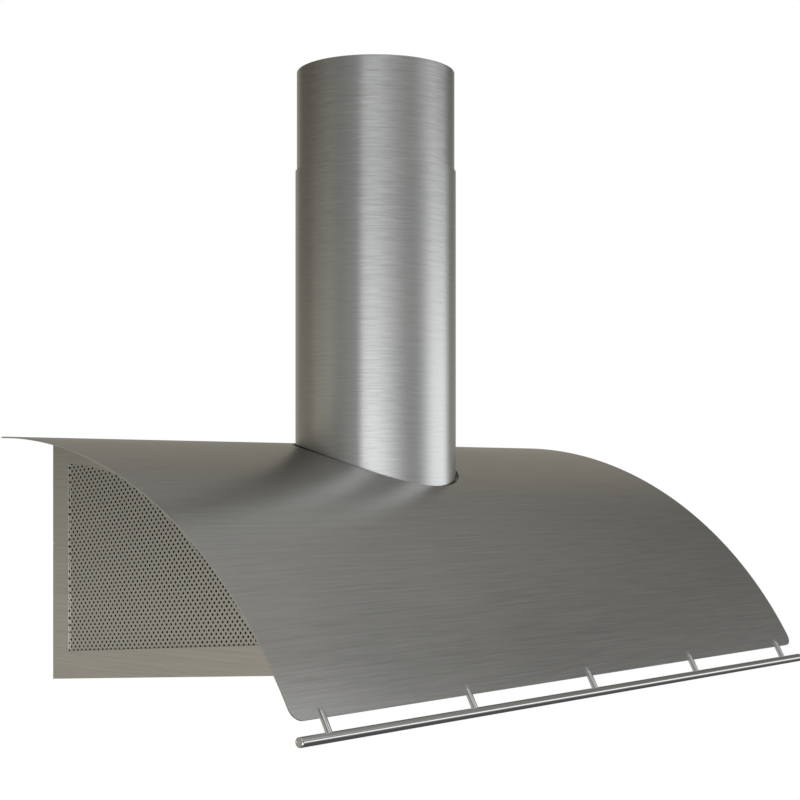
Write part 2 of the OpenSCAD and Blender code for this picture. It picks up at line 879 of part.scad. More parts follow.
module scroll(side) color("gainsboro") {
    half = scroll_w / 2;
    on_side(side) {
        side_on(half, scroll_t) difference() {
            scroll_outline(0);
            translate([scroll_y, scroll_z]) circle(inlet_r);
        }
        side_on(half - scroll_t, half - scroll_t) difference() {
            scroll_outline(0);
            scroll_outline(scroll_t);
        }
        side_on(half - scroll_t, inlet_lip_l) translate([scroll_y, scroll_z]) difference() {
            circle(inlet_r + scroll_t);
            circle(inlet_r);
        }
        difference() {
            translate([0, -cover_axis - throat_l / 2 - throat_flange, deck_z - scroll_t]) {
                cube([half + throat_flange, throat_l + 2 * throat_flange, scroll_t]);
            }
            translate([-cut_over, -cover_axis - throat_l / 2 + scroll_t, deck_z - scroll_t - cut_over]) {
                cube([half - scroll_t + cut_over, throat_l - 2 * scroll_t, scroll_t + 2 * cut_over]);
            }
            deck_screw_places() translate([0, 0, -scroll_t - cut_over]) {
                cylinder(r = screw_r + seat_gap, h = scroll_t + 2 * cut_over);
            }
        }
    }
}

// Turns a shape that stands on Z along the blower's axis, from x on
module on_shaft(x) {
    translate([x, -scroll_y, scroll_z]) rotate([0, 90, 0]) children();
}

module wheel() color("silver") {
    inner = wheel_r - blade_l;
    on_shaft(-wheel_w / 2) linear_extrude(wheel_w) intersection() {
        difference() {
            circle(wheel_r);
            circle(inner);
        }
        for (i = [0 : blade_count - 1]) rotate(i * 360 / blade_count) {
            translate([wheel_r - blade_l * blade_foot_share, 0]) rotate(blade_lean) {
                square([2 * blade_l, blade_t], center = true);
            }
        }
    }
    for (x = [-wheel_w / 2, wheel_w / 2 - wheel_ring_t]) on_shaft(x) difference() {
        cylinder(r = wheel_r, h = wheel_ring_t);
        translate([0, 0, -cut_over]) cylinder(r = inner, h = wheel_ring_t + 2 * cut_over);
    }
    on_shaft(hub_x) difference() {
        union() {
            cylinder(r = wheel_r, h = wheel_ring_t);
            cylinder(r = hub_r, h = hub_l);
        }
        translate([0, 0, -cut_over]) cylinder(r = shaft_r + tight_gap, h = hub_l + 2 * cut_over);
    }
}

module motor_shaft() color("gray") {
    on_shaft(motor_end_x - motor_l - shaft_tail) {
        cylinder(r = shaft_r, h = shaft_tip_x - motor_end_x + motor_l + shaft_tail);
    }
}

module wheel_nut() color("gray") {
    on_shaft(hub_x + hub_l) difference() {
        cylinder(r = wheel_nut_r, h = wheel_nut_h, $fn = 6);
        translate([0, 0, -cut_over]) cylinder(r = shaft_r + tight_gap, h = wheel_nut_h + 2 * cut_over);
    }
}

module motor() color("dimgray") {
    on_shaft(motor_end_x - motor_l) difference() {
        cylinder(r = motor_d / 2, h = motor_l);
        translate([0, 0, -cut_over]) cylinder(r = shaft_r + run_gap, h = motor_l + 2 * cut_over);
    }
}

module motor_bracket() color("gray") {
    clamp_r = motor_d / 2 + seat_gap;
    on_shaft(-scroll_w / 2 - clamp_l) difference() {
        union() {
            cylinder(r = clamp_r + clamp_t, h = clamp_l - seat_gap);
            translate([0, 0, clamp_l - arm_t]) for (a = [0, 120, 240]) rotate(a) {
                translate([0, -arm_w / 2, 0]) cube([arm_end_r, arm_w, arm_t]);
            }
        }
        translate([0, 0, -cut_over]) cylinder(r = clamp_r, h = clamp_l + 2 * cut_over);
    }
}

module duct_collar() color("gainsboro") {
    inside = collar_r - collar_t;
    ledge_z = damper_z - flap_t / 2 - ledge_gap - ledge_t - deck_top;
    difference() {
        translate([0, -cover_axis, deck_top]) rotate_extrude() {
            translate([inside, 0]) square([collar_t, collar_l]);
            translate([inside, 0]) square([collar_flange, collar_t]);
            translate([inside - ledge_w, ledge_z]) square([ledge_w, ledge_t]);
        }
        translate([0, -cover_axis, damper_z]) rotate([0, 90, 0]) {
            cylinder(r = pin_r + tight_gap, h = 2 * collar_d, center = true);
        }
        deck_screw_places() cylinder(r = screw_r + seat_gap, h = deck_t + collar_t + cut_over);
    }
}

module damper_pin() color("gray") {
    translate([0, -cover_axis, damper_z]) rotate([0, 90, 0]) {
        cylinder(r = pin_r, h = collar_d - 2 * seat_gap, center = true);
    }
}

// Half a disc that swings up on its knuckles; face is 1 for the front flap, 0 for the rear
module damper(face) color("silver") {
    disc_r = collar_r - collar_t - flap_gap;
    reach = disc_r - ledge_w - flap_gap;
    step = 2 * reach / knuckle_n;
    clear = knuckle_r + knuckle_gap;
    translate([0, -cover_axis, damper_z]) mirror([0, face, 0]) difference() {
        union() {
            translate([0, 0, -flap_t / 2]) linear_extrude(flap_t) intersection() {
                circle(disc_r);
                translate([-disc_r, clear]) square([2 * disc_r, disc_r]);
            }
            for (i = [0 : knuckle_n / 2 - 1]) {
                translate([-reach + (2 * i + face) * step + knuckle_gap / 2, 0, 0]) {
                    rotate([0, 90, 0]) cylinder(r = knuckle_r, h = step - knuckle_gap);
                    translate([0, 0, -flap_t / 2]) cube([step - knuckle_gap, 2 * clear, flap_t]);
                }
            }
        }
        rotate([0, 90, 0]) cylinder(r = pin_r + run_gap, h = collar_d, center = true);
    }
}

// A block on the rear panel's face, out from it by out, centred on x and z
module wall_block(x, z, out, w, l, h) {
    translate([x - w / 2, -sheet_t - out - l, z - h / 2]) cube([w, l, h]);
}

module wiring_box() color("dimgray") {
    difference() {
        wall_block(box_x, box_z, 0, box_w, box_l, box_h);
        wall_block(box_x, box_z, box_wall, box_w - 2 * box_wall, box_l, box_h - 2 * box_wall);
        translate([box_x, -sheet_t - box_l / 2, box_z]) cylinder(r = gland_r, h = box_h);
    }
}

module wiring_lid() color("gray") {
    wall_block(box_x, box_z, box_l, box_w, box_wall, box_h);
}

module cable_gland() color("dimgray") {
    seat = box_z + box_h / 2;
    translate([box_x, -sheet_t - box_l / 2, seat]) difference() {
        union() {
            cylinder(r = gland_hex_r, h = gland_h, $fn = 6);
            translate([0, 0, -box_wall - gland_nut_h]) {
                cylinder(r = gland_r - seat_gap, h = box_wall + gland_nut_h);
            }
        }
        translate([0, 0, -box_h / 2]) cylinder(r = gland_bore_r, h = box_h);
    }
}

module terminal_block() color("white") {
    floor_z = box_z - box_h / 2 + box_wall + terminal_h / 2;
    step = terminal_w / terminal_poles;
    difference() {
        wall_block(box_x, floor_z, box_wall, terminal_w, terminal_l, terminal_h);
        for (i = [0 : terminal_poles - 1]) {
            x = box_x + (i + 0.5) * step - terminal_w / 2;
            translate([x, -sheet_t - box_wall - terminal_l - cut_over, floor_z]) rotate([-90, 0, 0]) {
                cylinder(r = pole_r, h = pole_depth + cut_over);
            }
        }
    }
}

module capacitor() color("lightgray") {
    rest_z = box_z - box_h / 2 + box_wall + terminal_h + seat_gap + capacitor_r;
    out = box_wall + seat_gap + capacitor_r;
    translate([box_x - capacitor_l / 2, -sheet_t - out, rest_z]) rotate([0, 90, 0]) {
        cylinder(r = capacitor_r, h = capacitor_l);
    }
}

canopy();
side_panel(-1);  // side_panel_left
side_panel(1);  // side_panel_right
side_screen(-1);  // side_screen_left
side_screen(1);  // side_screen_right
rear_panel();
floor_pan();
deck();
cover_ring();
cover_lower();
cover_upper();
cover_bracket();
rail();
rail_cap(-1);  // rail_cap_left
rail_cap(1);  // rail_cap_right
for (i = [1 : 5]) {
    rail_post(i - 3);
}
filter_frame(-1);  // filter_frame_left
filter_frame(1);  // filter_frame_right
filter_baffles(-1);  // filter_baffles_left
filter_baffles(1);  // filter_baffles_right
filter_pull(-1);  // filter_pull_left
filter_pull(1);  // filter_pull_right
filter_magnets();
lamp_can(-1);  // lamp_can_left
lamp_can(1);  // lamp_can_right
lamp_bezel(-1);  // lamp_bezel_left
lamp_bezel(1);  // lamp_bezel_right
lamp_lens(-1);  // lamp_lens_left
lamp_lens(1);  // lamp_lens_right
control_case();
control_board();
for (i = [0 : 4]) {
    button(i - 2);
}
scroll(-1);  // scroll_left
scroll(1);  // scroll_right
wheel();
motor_shaft();
wheel_nut();
motor();
motor_bracket();
duct_collar();
damper(1);  // damper_front
damper(0);  // damper_rear
damper_pin();
wiring_box();
wiring_lid();
terminal_block();
capacitor();
cable_gland();
deck_screws();
canopy_studs();
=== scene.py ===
import json
import math

import bmesh
import bpy
from mathutils import Matrix, Vector
from mathutils.geometry import delaunay_2d_cdt


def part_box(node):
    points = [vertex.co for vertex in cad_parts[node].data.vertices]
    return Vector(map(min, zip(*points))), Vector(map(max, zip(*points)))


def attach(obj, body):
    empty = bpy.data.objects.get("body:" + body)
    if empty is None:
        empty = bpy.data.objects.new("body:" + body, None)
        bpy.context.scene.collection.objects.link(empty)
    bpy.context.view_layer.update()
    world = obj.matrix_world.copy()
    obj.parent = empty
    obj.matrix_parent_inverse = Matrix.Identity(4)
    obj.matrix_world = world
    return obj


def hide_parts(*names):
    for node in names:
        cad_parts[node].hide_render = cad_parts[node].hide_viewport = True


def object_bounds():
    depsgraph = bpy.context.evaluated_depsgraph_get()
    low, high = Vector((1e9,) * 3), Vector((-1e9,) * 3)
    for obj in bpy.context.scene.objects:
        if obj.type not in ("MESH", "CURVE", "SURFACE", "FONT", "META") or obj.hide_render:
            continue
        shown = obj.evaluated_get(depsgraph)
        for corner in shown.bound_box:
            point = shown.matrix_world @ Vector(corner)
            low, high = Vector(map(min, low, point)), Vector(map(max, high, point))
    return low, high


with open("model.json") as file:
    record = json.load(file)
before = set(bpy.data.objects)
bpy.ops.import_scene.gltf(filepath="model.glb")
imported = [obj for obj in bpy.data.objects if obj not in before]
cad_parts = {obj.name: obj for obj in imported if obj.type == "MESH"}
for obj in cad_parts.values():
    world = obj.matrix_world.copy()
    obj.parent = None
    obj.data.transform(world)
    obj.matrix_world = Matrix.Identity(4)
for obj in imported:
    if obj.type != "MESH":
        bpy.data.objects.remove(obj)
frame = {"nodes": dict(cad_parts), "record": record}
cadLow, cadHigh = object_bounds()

# Lengths are metres. Angles in the dictionaries are degrees, and those inside functions radians.
# The hood hangs on the plane Y = 0, the room lies at -Y, and Z is up.


# The canopy's curve, which most pieces follow

curve = {
    "radius": 0.487,        # outer face of the sheet
    "setback": 0.004,       # centre line of the curve, behind the wall
    "thickness": 0.0015,
}
canopyLow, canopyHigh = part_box("canopy")
curveCentreZ = canopyHigh.z - math.sqrt(curve["radius"] ** 2 - curve["setback"] ** 2)
edgeAngle = math.asin((curve["setback"] - canopyLow.y) / curve["radius"])
wallAngle = math.asin(curve["setback"] / curve["radius"])


def onCurve(x, angle, radius):
    # a point at an angle in radians from straight up, towards the room
    return Vector((x, curve["setback"] - radius * math.sin(angle),
                   curveCentreZ + radius * math.cos(angle)))


def edgeFrame():
    # middle of the front edge: X along it, Y up along the sheet, Z out of it
    middle = onCurve(0, edgeAngle, curve["radius"] - curve["thickness"] / 2)
    return Matrix.Translation(middle) @ Matrix.Rotation(edgeAngle, 4, "X")


# Node trees

def addNode(tree, kind, values=None, **settings):
    node = tree.nodes.new(kind)
    for name, value in settings.items():
        setattr(node, name, value)
    for name, value in (values or {}).items():
        if isinstance(value, bpy.types.NodeSocket):
            tree.links.new(value, node.inputs[name])
        else:
            node.inputs[name].default_value = value
    return node


def mixColours(tree, factor, first, second):
    mix = addNode(tree, "ShaderNodeMix", data_type="RGBA")
    for socket, value in ((mix.inputs[0], factor), (mix.inputs[6], first), (mix.inputs[7], second)):
        if isinstance(value, bpy.types.NodeSocket):
            tree.links.new(value, socket)
        elif socket == mix.inputs[0]:
            socket.default_value = value
        else:
            socket.default_value = (*value, 1)
    return mix.outputs[2]


def mapValue(tree, value, low, high, fromLow=0.0, fromHigh=1.0):
    node = addNode(tree, "ShaderNodeMapRange", {
        "Value": value, "From Min": fromLow, "From Max": fromHigh, "To Min": low, "To Max": high})
    return node.outputs[0]


def grainNoise(tree, place, scale, detail, roughness):
    stretched = addNode(tree, "ShaderNodeMapping", {"Vector": place, "Scale": scale})
    noise = addNode(tree, "ShaderNodeTexNoise", {
        "Vector": stretched.outputs[0], "Scale": 1.0, "Detail": detail, "Roughness": roughness})
    return noise.outputs[0]


def newMaterial(name):
    material = bpy.data.materials.new(name)
    material.use_nodes = True
    material.node_tree.nodes.clear()
    return material, material.node_tree


def closeMaterial(tree, shader):
    output = addNode(tree, "ShaderNodeOutputMaterial")
    tree.links.new(shader.outputs[0], output.inputs[0])


# Finishes

brushed = {
    "fine": 1000.0,                                 # streaks a metre across the grain
    "broad": 480.0,
    "fineAlong": {"straight": 16.0, "round": 44.0},     # and along it
    "broadAlong": {"straight": 9.0, "round": 26.0},
    "cloud": 7.0,                                   # soft patches a metre
    "streakRange": (0.6, 1.4),                      # where the two grains added up mostly lie
    "patchRange": (0.35, 0.75),
    "patchShare": 0.35,                             # how far a patch covers the streaks
    "warmth": (1.0, 0.985, 0.955),                  # a patch's colour against the light one
    "bump": {"straight": 0.022, "round": 0.009},
    "bumpDepth": 0.00004,
}
sideLow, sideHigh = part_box("side_panel_left")
# painted shade: the sides are painted darker towards the canopy's overhang, over this share of
# their height, standing in for its shadow
paintedOverhangShade = {"share": 0.7, "least": 0.7}
steels = {
    "canopy": {"grain": "x", "light": (0.61, 0.603, 0.585), "dark": (0.45, 0.445, 0.43),
               "roughness": 0.22, "spread": 0.035, "contrast": 1.1, "directional": 0.8},
    "cover": {"grain": "round", "light": (0.655, 0.655, 0.645), "dark": (0.485, 0.485, 0.475),
              "roughness": 0.25, "spread": 0.025, "contrast": 0.9, "directional": 0.8},
    "side": {"grain": "y", "light": (0.81, 0.797, 0.757), "dark": (0.56, 0.55, 0.52),
             "roughness": 0.34, "spread": 0.05, "contrast": 1.2, "directional": 0.8,
             "withPaintedShade": True},
    "screen": {"grain": "y", "light": (0.83, 0.818, 0.78), "dark": (0.65, 0.64, 0.61),
               "roughness": 0.4, "spread": 0.05, "contrast": 0.9, "directional": 0.8,
               "withPaintedShade": True},
    "rail": {"grain": "x", "light": (0.64, 0.635, 0.62), "dark": (0.56, 0.555, 0.54),
             "roughness": 0.16, "spread": 0.03, "contrast": 0.7, "directional": 0.0},
    "post": {"grain": "x", "light": (0.72, 0.72, 0.715), "dark": (0.66, 0.66, 0.65),
             "roughness": 0.1, "spread": 0.02, "contrast": 0.4, "directional": 0.0},
    "filter": {"grain": "y", "light": (0.64, 0.64, 0.63), "dark": (0.56, 0.56, 0.55),
               "roughness": 0.3, "spread": 0.05, "contrast": 0.8, "directional": 0.8},
    "wire": {"grain": "x", "light": (0.7, 0.7, 0.69), "dark": (0.65, 0.65, 0.64),
             "roughness": 0.2, "spread": 0.02, "contrast": 0.3, "directional": 0.0},
    "bezel": {"grain": "round", "light": (0.74, 0.74, 0.73), "dark": (0.68, 0.68, 0.67),
              "roughness": 0.18, "spread": 0.02, "contrast": 0.5, "directional": 0.3},
    "button": {"grain": "x", "light": (0.72, 0.72, 0.71), "dark": (0.66, 0.66, 0.65),
               "roughness": 0.2, "spread": 0.03, "contrast": 0.6, "directional": 0.4},
}


def brushedSteel(name, grain, light, dark, roughness, spread, contrast, directional, withPaintedShade=False):
    # grain is x or y for straight lines, or round for lines turned about Z
    material, tree = newMaterial(name)
    place = addNode(tree, "ShaderNodeTexCoord").outputs["Object"]
    along = {"x": (1, 0, 0), "y": (0, 1, 0), "round": (1, 1, 0)}[grain]
    way = "round" if grain == "round" else "straight"
    fineScale = [brushed["fineAlong"][way] if a else brushed["fine"] for a in along]
    broadScale = [brushed["broadAlong"][way] if a else brushed["broad"] for a in along]
    fine = grainNoise(tree, place, fineScale, 3.0, 0.6)
    broad = grainNoise(tree, place, broadScale, 4.0, 0.65)
    cloud = grainNoise(tree, place, [brushed["cloud"]] * 3, 3.0, 0.5)
    streak = addNode(tree, "ShaderNodeMath", {0: fine, 1: broad}, operation="ADD").outputs[0]
    low, high = brushed["streakRange"]
    tone = mapValue(tree, streak, 0.5 - 0.5 * contrast, 0.5 + 0.5 * contrast, low, high)
    tint = mixColours(tree, tone, dark, light)
    warm = [c * w for c, w in zip(light, brushed["warmth"])]
    patch = mapValue(tree, cloud, 0.0, brushed["patchShare"], *brushed["patchRange"])
    tint = mixColours(tree, patch, tint, warm)
    # painted shade: towards the top the tint is mixed towards black, standing in for the overhang's
    # shadow
    if withPaintedShade:
        height = addNode(tree, "ShaderNodeSeparateXYZ", {0: place}).outputs["Z"]
        end = sideHigh.z - paintedOverhangShade["share"] * (sideHigh.z - sideLow.z)
        share = mapValue(tree, height, 1.0, paintedOverhangShade["least"], end, sideHigh.z)
        tint = mixColours(tree, share, (0.0, 0.0, 0.0), tint)
    rough = mapValue(tree, streak, roughness - spread, roughness + spread, low, high)
    bump = addNode(tree, "ShaderNodeBump", {
        "Strength": brushed["bump"][way], "Distance": brushed["bumpDepth"], "Height": streak})
    axis = (0, 0, 1) if grain == "round" else along
    tangent = addNode(tree, "ShaderNodeCombineXYZ", dict(zip("XYZ", axis)))
    turned = addNode(tree, "ShaderNodeVectorTransform", {0: tangent.outputs[0]},
                     vector_type="VECTOR", convert_from="OBJECT", convert_to="WORLD")
    shader = addNode(tree, "ShaderNodeBsdfPrincipled", {
        "Base Color": tint, "Metallic": 1.0, "Roughness": rough, "Normal": bump.outputs[0],
        "Anisotropic": directional, "Anisotropic Rotation": 0.0 if grain == "round" else 0.25,
        "Tangent": turned.outputs[0]})
    closeMaterial(tree, shader)
    return material


plain = {"grain": 900.0, "bump": 0.1, "bumpDepth": 0.00005, "noiseRange": (0.3, 0.7),
         "roughSpread": 0.06, "blotch": 40}     # grains across a blotch
coats = {
    "fastener": {"name": "zincedFastener", "light": (0.62, 0.62, 0.6), "dark": (0.5, 0.5, 0.48),
                 "roughness": 0.34, "metallic": 1.0},
    "wheel": {"name": "rolledAluminium", "light": (0.7, 0.71, 0.72), "dark": (0.62, 0.63, 0.64),
              "roughness": 0.38, "metallic": 1.0},
    "damper": {"name": "millAluminium", "light": (0.72, 0.72, 0.72), "dark": (0.64, 0.64, 0.64),
               "roughness": 0.36, "metallic": 1.0},
    "lamp_can": {"name": "castAluminium", "light": (0.6, 0.6, 0.6), "dark": (0.5, 0.5, 0.5),
                 "roughness": 0.5, "metallic": 1.0, "grain": 500.0, "bump": 0.3},
    "motor": {"name": "motorPaint", "light": (0.06, 0.06, 0.065), "dark": (0.045, 0.045, 0.05),
              "roughness": 0.42, "grain": 700.0, "bump": 0.2},
    "magnet": {"name": "magnetCoat", "light": (0.09, 0.09, 0.095), "dark": (0.06, 0.06, 0.065),
               "roughness": 0.5, "grain": 700.0, "bump": 0.2},
    "dark_plastic": {"name": "darkPlastic", "light": (0.03, 0.03, 0.032),
                     "dark": (0.022, 0.022, 0.024), "roughness": 0.48},
    "grey_plastic": {"name": "greyPlastic", "light": (0.22, 0.225, 0.23),
                     "dark": (0.19, 0.195, 0.2), "roughness": 0.45},
    "white_plastic": {"name": "whitePlastic", "light": (0.78, 0.77, 0.73),
                      "dark": (0.7, 0.69, 0.65), "roughness": 0.42},
    "board": {"name": "boardCoat", "light": (0.03, 0.14, 0.06), "dark": (0.02, 0.1, 0.045),
              "roughness": 0.35, "grain": 1200.0, "coat": 0.3},
}


def plainFinish(name, light, dark, roughness, metallic=0.0, grain=plain["grain"],
                bump=plain["bump"], coat=0.0, glow=0.0):
    # moulded or coated surfaces: fine grain, soft blotches and a little wear in the tone
    material, tree = newMaterial(name)
    place = addNode(tree, "ShaderNodeTexCoord").outputs["Object"]
    fine = grainNoise(tree, place, [grain] * 3, 2.0, 0.5)
    blotch = grainNoise(tree, place, [grain / plain["blotch"]] * 3, 4.0, 0.6)
    low, high = plain["noiseRange"]
    shade = mixColours(tree, mapValue(tree, blotch, 0.0, 1.0, low, high), dark, light)
    spread = plain["roughSpread"]
    rough = mapValue(tree, fine, roughness - spread, roughness + spread, low, high)
    relief = addNode(tree, "ShaderNodeBump", {
        "Strength": bump, "Distance": plain["bumpDepth"], "Height": fine})
    shader = addNode(tree, "ShaderNodeBsdfPrincipled", {
        "Base Color": shade, "Metallic": metallic, "Roughness": rough,
        "Normal": relief.outputs[0], "Coat Weight": coat,
        "Emission Color": (1, 1, 1, 1), "Emission Strength": glow})
    closeMaterial(tree, shader)
    return material


zinc = {
    "crystals": 170.0,      # a metre
    "bend": 160.0, "bendReach": 0.004, "haze": 900.0, "roughness": (0.38, 0.5), "toneTop": 0.7,
    "clean": ((0.6, 0.61, 0.62), (0.72, 0.73, 0.74)),
    # painted shade: near-black zinc under the cover's foot, so that the gap round the cover stays
    # black as if in shadow
    "paintedGapShade": ((0.05, 0.05, 0.052), (0.07, 0.07, 0.072)),
}


def spangledZinc(name, dull, bright):
    # zinc coated sheet, with the crystals that dipping leaves
    material, tree = newMaterial(name)
    place = addNode(tree, "ShaderNodeTexCoord").outputs["Object"]
    bend = addNode(tree, "ShaderNodeTexNoise", {
        "Vector": place, "Scale": zinc["bend"], "Detail": 2.0})
    bent = addNode(tree, "ShaderNodeVectorMath", {
        0: bend.outputs["Color"], 1: [zinc["bendReach"]] * 3}, operation="MULTIPLY").outputs[0]
    spot = addNode(tree, "ShaderNodeVectorMath", {0: place, 1: bent}, operation="ADD").outputs[0]
    cells = addNode(tree, "ShaderNodeTexVoronoi", {
        "Vector": spot, "Scale": zinc["crystals"], "Randomness": 1.0})
    crystal = addNode(tree, "ShaderNodeSeparateColor", {0: cells.outputs["Color"]}).outputs[0]
    haze = grainNoise(tree, place, [zinc["haze"]] * 3, 2.0, 0.5)
    tone = addNode(tree, "ShaderNodeMath", {0: crystal, 1: haze}, operation="MULTIPLY").outputs[0]
    shade = mixColours(tree, tone, dull, bright)
    rough = mapValue(tree, tone, *zinc["roughness"], 0.0, zinc["toneTop"])
    shader = addNode(tree, "ShaderNodeBsdfPrincipled", {
        "Base Color": shade, "Metallic": 1.0, "Roughness": rough})
    closeMaterial(tree, shader)
    return material


glass = {"colour": (0.95, 0.95, 0.93, 1), "transmission": 0.3, "ior": 1.49, "grain": 1600.0,
         "noiseRange": (0.3, 0.7), "roughness": (0.35, 0.6), "bump": 0.25, "bumpDepth": 0.0001}


def frostedLens(name):
    material, tree = newMaterial(name)
    place = addNode(tree, "ShaderNodeTexCoord").outputs["Object"]
    grain = grainNoise(tree, place, [glass["grain"]] * 3, 2.0, 0.5)
    rough = mapValue(tree, grain, *glass["roughness"], *glass["noiseRange"])
    relief = addNode(tree, "ShaderNodeBump", {
        "Strength": glass["bump"], "Distance": glass["bumpDepth"], "Height": grain})
    shader = addNode(tree, "ShaderNodeBsdfPrincipled", {
        "Base Color": glass["colour"], "Roughness": rough, "Normal": relief.outputs[0],
        "Transmission Weight": glass["transmission"], "IOR": glass["ior"]})
    closeMaterial(tree, shader)
    return material


# each finish stands under the name of its slot; post and darkZinc (zinc painted near-black as
# shade) are for single pieces
finishes = {name: brushedSteel(name + "Steel", **settings) for name, settings in steels.items()}
finishes.update({name: plainFinish(**settings) for name, settings in coats.items()})
finishes["galvanised"] = spangledZinc("zincSheet", *zinc["clean"])
finishes["darkZinc"] = spangledZinc("zincWithPaintedShade", *zinc["paintedGapShade"])
finishes["lens"] = frostedLens("frostedLens")
print("finishes:", len(finishes))


# Meshes

def newPiece(name, mesh, slotName, body, replaced=(), finish=None):
    piece = bpy.data.objects.new(name, mesh)
    bpy.context.scene.collection.objects.link(piece)
    mesh.materials.clear()
    mesh.materials.append(finish or finishes[slotName])
    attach(piece, body)
    if replaced:
        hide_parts(*replaced)
    return piece


def meshFrom(name, vertices, faces):
    mesh = bpy.data.meshes.new(name)
    mesh.from_pydata(vertices, [], faces)
    mesh.update()
    return mesh


def finishEdges(piece, width, segments=2, angle=35):
    # rounds each sharp edge, then lets the large faces rule the shading
    piece.data.polygons.foreach_set("use_smooth", [True] * len(piece.data.polygons))
    if width:
        bevel = piece.modifiers.new("roundedEdges", "BEVEL")
        bevel.width = width
        bevel.segments = segments
        bevel.limit_method = "ANGLE"
        bevel.angle_limit = math.radians(angle)
        bevel.use_clamp_overlap = True
        bevel.miter_outer = "MITER_ARC"
    else:
        piece.data.set_sharp_from_angle(angle=math.radians(angle))
    normals = piece.modifiers.new("evenShading", "WEIGHTED_NORMAL")
    normals.keep_sharp = True
    normals.weight = 100
    return piece


def cutSheet(outline, holes, rules, place, thickness):
    # a flat drawing with holes, cut into triangles and given a thickness; place(u, v, depth)
    # puts a point of it in the room, and rules are lines that bend with the sheet
    points = [Vector(p) for p in outline]
    faces = [list(range(len(points)))]
    for hole in holes:
        faces.append(list(range(len(points), len(points) + len(hole))))
        points += [Vector(p) for p in hole]
    edges = []
    for start, end in rules:
        edges.append((len(points), len(points) + 1))
        points += [Vector(start), Vector(end)]
    flat, _, cells, _, _, owners = delaunay_2d_cdt(points, edges, faces, 0, 1e-7, True)
    kept = [cell for cell, owner in zip(cells, owners) if 0 in owner and len(owner) == 1]
    used = sorted({i for cell in kept for i in cell})
    rank = {before: after for after, before in enumerate(used)}
    fronts = [[rank[i] for i in cell] for cell in kept]
    count = len(used)
    vertices = [place(*flat[i], depth) for depth in (0, thickness) for i in used]
    ways = {}       # edges as their triangles run; one that runs a single way is a border
    for cell in fronts:
        for a, b in zip(cell, cell[1:] + cell[:1]):
            ways[(a, b)] = True
    walls = [[a, b, b + count, a + count] for a, b in ways if (b, a) not in ways]
    backs = [[i + count for i in cell] for cell in fronts]
    return vertices, [cell[::-1] for cell in fronts] + backs + walls


def turnedSolid(profile, place, segments, closed):
    # turns a profile of (radius, height) about Z; a closed profile is a ring
    vertices = []
    rings = []
    for radius, height in profile:
        if radius < 1e-9:
            rings.append([len(vertices)] * segments)
            vertices.append(place @ Vector((0, 0, height)))
            continue
        rings.append(list(range(len(vertices), len(vertices) + segments)))
        for i in range(segments):
            a = 2 * math.pi * i / segments
            vertices.append(place @ Vector((radius * math.cos(a), radius * math.sin(a), height)))
    faces = []
    pairs = list(zip(rings, rings[1:] + rings[:1])) if closed else list(zip(rings, rings[1:]))
    for lower, upper in pairs:
        for i in range(segments):
            j = (i + 1) % segments
            corners = [lower[i], lower[j], upper[j], upper[i]]
            corners = [c for k, c in enumerate(corners) if c != corners[k - 1]]
            if len(corners) > 2:
                faces.append(corners)
    return vertices, faces


def roundProfile(profile, radius, steps=4, closed=True):
    # rounds the corners of a profile; each corner takes at most a third of its shorter side
    points = [Vector(p) for p in profile]
    result = []
    for i, corner in enumerate(points):
        before = points[i - 1]
        after = points[(i + 1) % len(points)]
        if not closed and i in (0, len(points) - 1):
            result.append(tuple(corner))
            continue
        back, ahead = before - corner, after - corner
        reach = min(radius, back.length / 3, ahead.length / 3)
        start, end = corner + back.normalized() * reach, corner + ahead.normalized() * reach
        for step in range(steps + 1):
            t = step / steps
            result.append(tuple((1 - t) ** 2 * start + 2 * t * (1 - t) * corner + t * t * end))
    return result


turning = {"cornerSteps": 4, "creaseAngle": 50}


def turnedPiece(name, profile, place, slotName, body, replaced, segments, closed, rounding):
    rounded = roundProfile(profile, rounding, turning["cornerSteps"], closed)
    mesh = meshFrom(name, *turnedSolid(rounded, place, segments, closed))
    flipIfInsideOut(mesh)
    piece = newPiece(name, mesh, slotName, body, replaced)
    return finishEdges(piece, 0, angle=turning["creaseAngle"])


def flipIfInsideOut(mesh):
    shape = bmesh.new()
    shape.from_mesh(mesh)
    bmesh.ops.recalc_face_normals(shape, faces=shape.faces)
    shape.to_mesh(mesh)
    shape.free()


dressing = {"weld": 1e-6, "flatAngle": 0.5}


def dressedNode(nodeName, slotName, body, width, segments=2, finish=None):
    # a copy of the solid's surface with welded corners, whole faces and rounded edges
    mesh = frame["nodes"][nodeName].data.copy()
    shape = bmesh.new()
    shape.from_mesh(mesh)
    bmesh.ops.remove_doubles(shape, verts=shape.verts, dist=dressing["weld"])
    bmesh.ops.dissolve_limit(shape, angle_limit=math.radians(dressing["flatAngle"]),
                             verts=shape.verts, edges=shape.edges)
    shape.to_mesh(mesh)
    shape.free()
    for name in [a.name for a in mesh.attributes if a.name == "custom_normal"]:
        mesh.attributes.remove(mesh.attributes[name])
    piece = newPiece("dressed_" + nodeName, mesh, slotName, body, [nodeName], finish)
    return finishEdges(piece, width, segments)


# Canopy

canopy = {
    "cornerRadius": 0.013, "cornerSteps": 12,
    "holeGap": 0.0035, "holeSides": 160,        # round the cover
    "ruleStep": 1.2, "ruleReach": 0.01,         # bend lines, and how far past the sheet they run
    "edge": 0.00035, "edgeSegments": 3, "creaseAngle": 45,
}
lowerLow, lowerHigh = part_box("cover_lower")
upperLow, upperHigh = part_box("cover_upper")
lowerRadius = (lowerHigh.x - lowerLow.x) / 2
upperRadius = (upperHigh.x - upperLow.x) / 2
coverY = (lowerHigh.y + lowerLow.y) / 2


